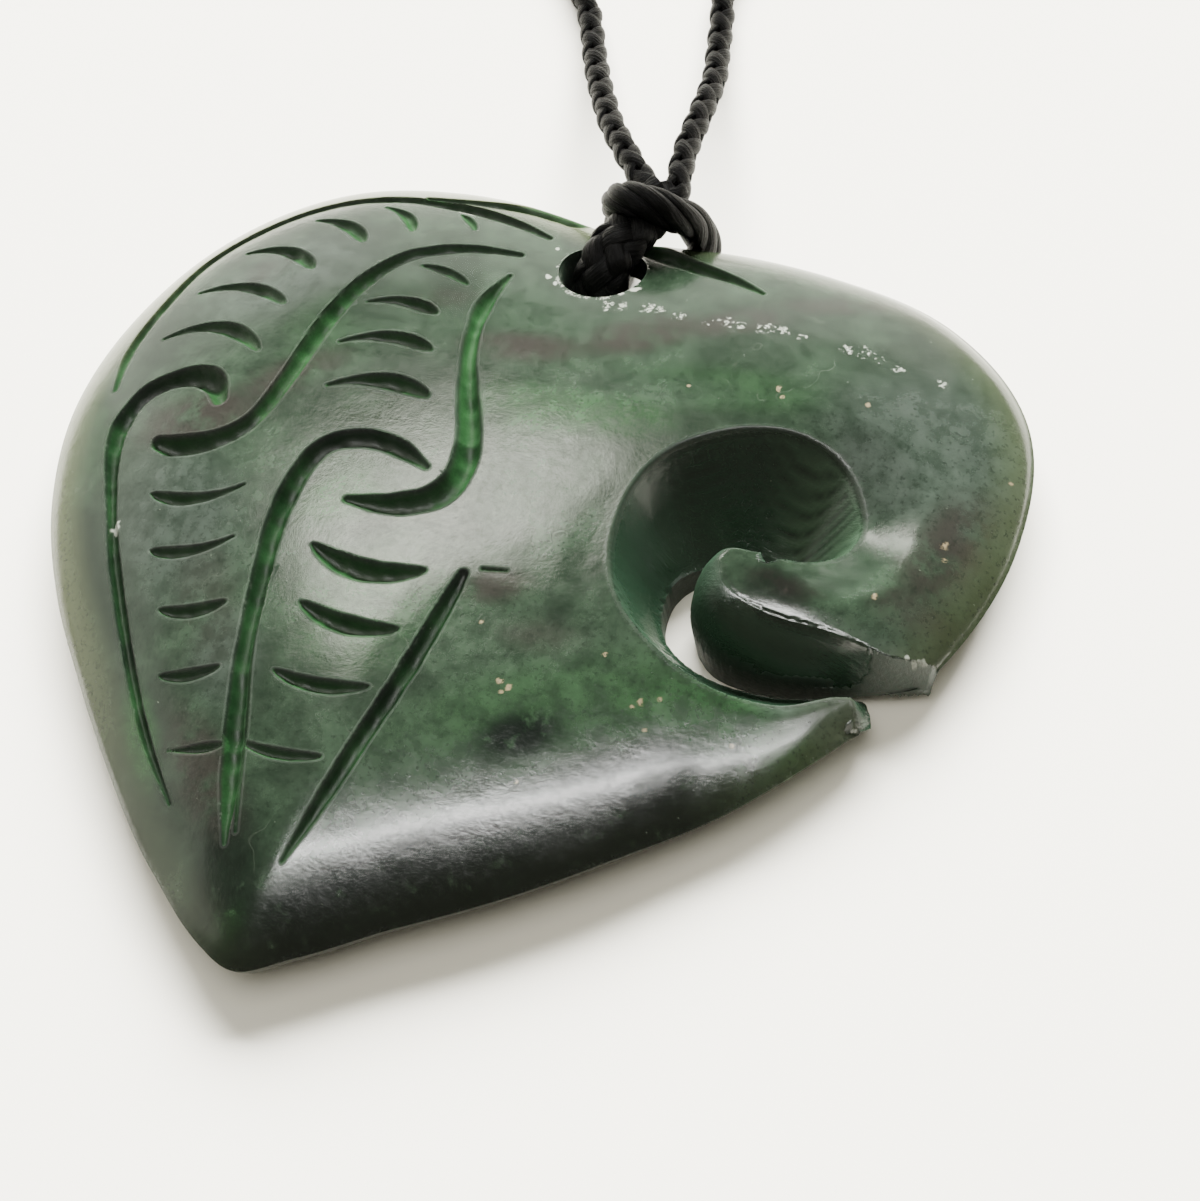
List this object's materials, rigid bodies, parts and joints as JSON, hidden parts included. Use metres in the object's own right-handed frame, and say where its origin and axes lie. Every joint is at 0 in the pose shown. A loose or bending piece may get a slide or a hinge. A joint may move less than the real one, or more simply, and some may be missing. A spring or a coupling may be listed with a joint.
{
  "type": "heart pendant",
  "caption": "Carved greenstone heart pendant with a cut-through spiral scroll and engraved fern leaves, hitched onto a closed loop of plaited waxed neck cord",
  "frame": {"origin": "middle of the flat spot on the stone's back, on which the pendant lies", "axes": "+Z out of the carved front, +Y up the heart from its point to its notch, +X to the side with the scroll"},
  "size_m": [0.1878, 0.3133, 0.0084],
  "materials": {
    "greenstone": "satin polish with brighter green in the engraving",
    "waxed_cord": "black plaited waxed cord, slightly dusty"
  },
  "bodies": {
    "root": {"stone": "greenstone", "hitch": "waxed_cord", "cord_left": "waxed_cord", "cord_right": "waxed_cord", "join_knot": "waxed_cord"}
  },
  "joints": []
}
